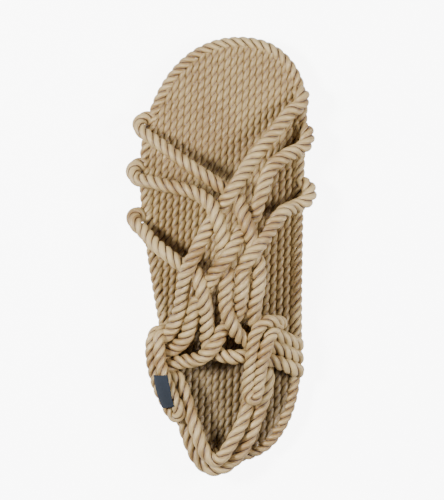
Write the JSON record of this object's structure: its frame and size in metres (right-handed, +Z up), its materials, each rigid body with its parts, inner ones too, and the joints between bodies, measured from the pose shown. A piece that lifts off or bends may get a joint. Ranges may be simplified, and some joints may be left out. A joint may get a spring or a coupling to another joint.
{
  "type": "rope sandal",
  "caption": "Left sandal with a corded footbed, a thin rubber outsole, crossing rope straps over the instep, doubled ankle loops and a rope heel strap.",
  "frame": {"origin": "on the ground under the middle of the heel seat, in the flat underside of the outsole", "axes": "+Z up, +Y along the sole towards the toe, +X towards the wearer's inner side"},
  "size_m": [0.12, 0.2747, 0.0578],
  "materials": {
    "outsole_rubber": "matte",
    "footbed_cord": "matte",
    "rim_rope": "matte",
    "strap_rope": "matte",
    "label_cloth": "matte"
  },
  "bodies": {
    "root": {"outsole": "outsole_rubber", "footbed": "footbed_cord", "rim_rope": "rim_rope", "upper_straps": "strap_rope", "outer_ankle_loop": "strap_rope", "inner_ankle_loop": "strap_rope", "heel_strap": "strap_rope", "label": "label_cloth"}
  },
  "joints": []
}
